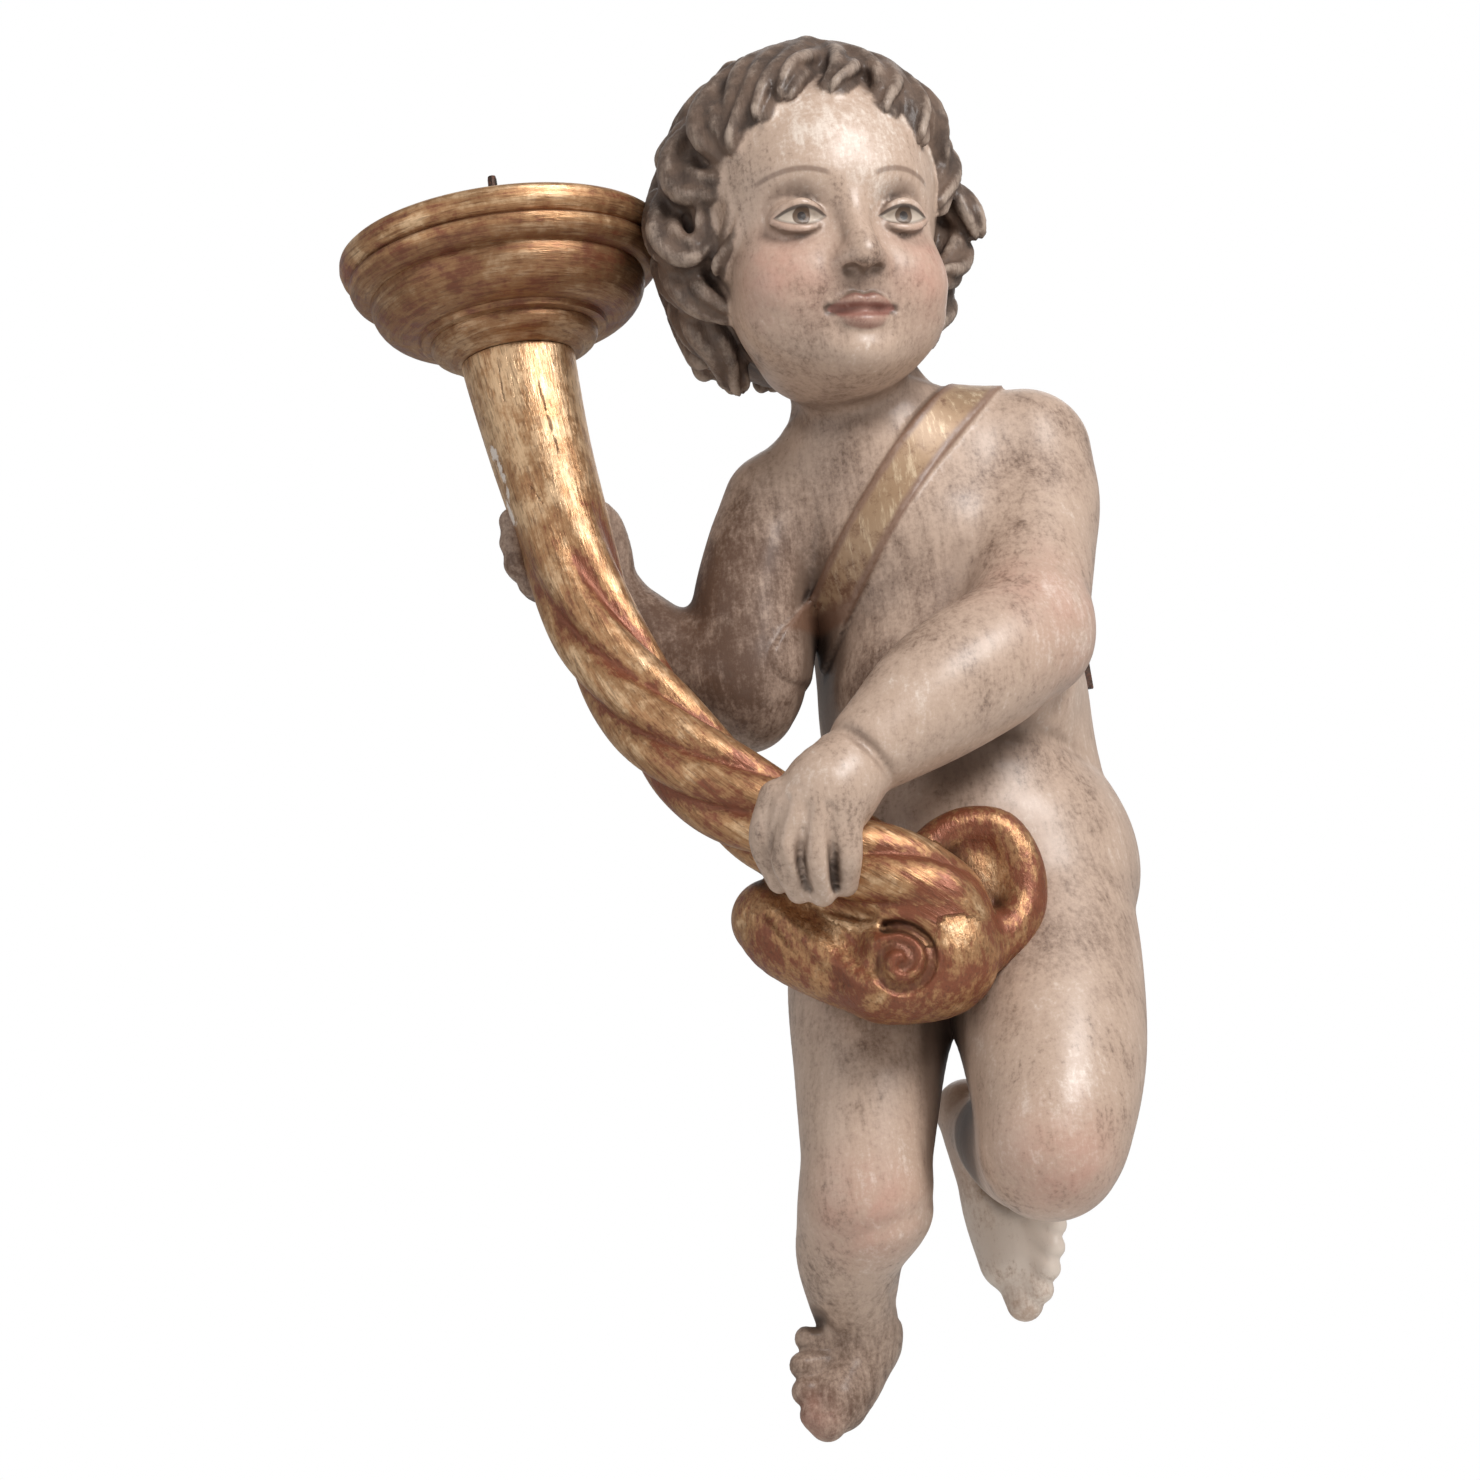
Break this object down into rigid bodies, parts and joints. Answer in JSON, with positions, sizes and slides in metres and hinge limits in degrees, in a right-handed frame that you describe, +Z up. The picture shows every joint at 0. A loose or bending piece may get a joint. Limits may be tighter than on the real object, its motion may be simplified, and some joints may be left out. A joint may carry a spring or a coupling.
{
  "type": "wall candle holder",
  "caption": "Carved and painted wooden putto that hangs on a wall and carries a gilded twisted horn with a turned drip pan and an iron pricket for a candle.",
  "frame": {"origin": "middle of the wall side of the hanging strap's bridge, on the wall plane", "axes": "+X to the viewer's right, +Y into the wall, +Z up; the drip pan is level"},
  "size_m": [0.2093, 0.1202, 0.3959],
  "materials": {
    "painted_wood": "aged oil paint over gesso, satin, dirty in the creases",
    "gilded_wood": "worn leaf gilding over red bole, burnished",
    "dark_iron": "dark, lightly rusted",
    "bare_wood": "bare limewood"
  },
  "bodies": {
    "root": {"figure": "painted_wood", "cornucopia": "gilded_wood", "drip_pan": "gilded_wood", "pricket": "dark_iron", "hip_dowel": "bare_wood", "arm_dowel": "bare_wood", "hanger_strap": "dark_iron", "hanger_screw_left": "dark_iron", "hanger_screw_right": "dark_iron"}
  },
  "joints": []
}
